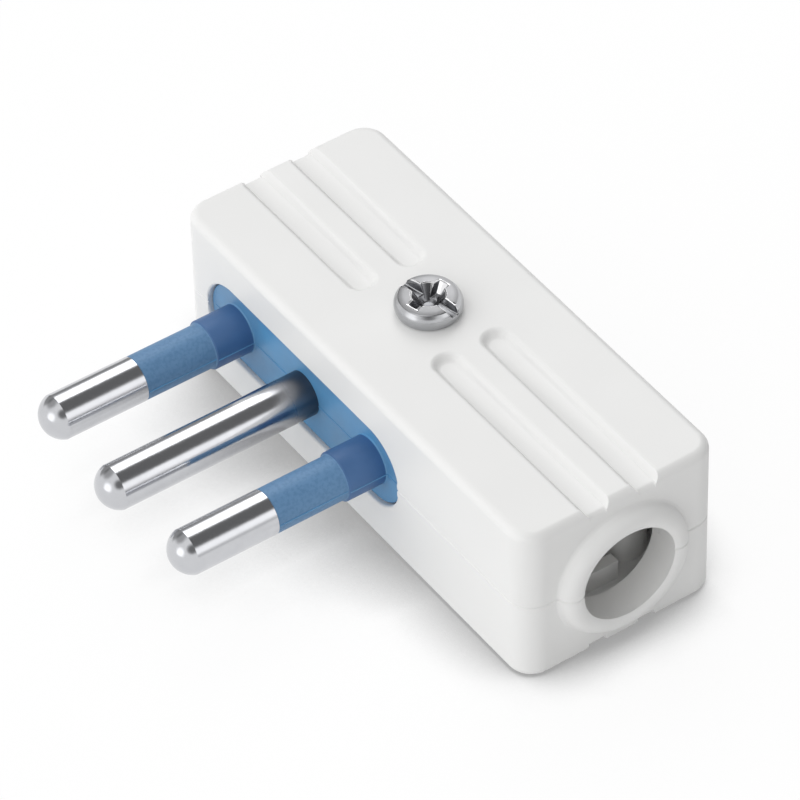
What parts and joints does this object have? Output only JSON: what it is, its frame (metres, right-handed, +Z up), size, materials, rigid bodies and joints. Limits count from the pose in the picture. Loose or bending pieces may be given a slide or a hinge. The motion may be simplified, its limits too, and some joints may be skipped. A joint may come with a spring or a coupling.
{
  "type": "flat electric plug",
  "caption": "Flat mains plug with round pins in line on one long side, a beaded cord entry in one end and grooved moulded shells closed by a screw.",
  "frame": {"origin": "on the underside, below the middle of the housing's length and width", "axes": "+X towards the cord entry, -Y along the pins, +Z up through the closing screw's head"},
  "size_m": [0.0496, 0.0387, 0.0173],
  "materials": {
    "housing": "satin moulded",
    "carrier": "satin moulded",
    "pin_plate": "bright nickel plate",
    "screw_plate": "bright nickel plate",
    "inner_screws": "zinc plate",
    "clamp": "satin moulded"
  },
  "bodies": {
    "root": {"upper_shell": "housing", "lower_shell": "housing", "pin_carrier": "carrier", "line_pin": "pin_plate", "earth_pin": "pin_plate", "neutral_pin": "pin_plate", "terminal_screws": "inner_screws", "cord_clamp": "clamp", "clamp_screws": "inner_screws", "closing_screw": "screw_plate", "closing_nut": "screw_plate"}
  },
  "joints": []
}
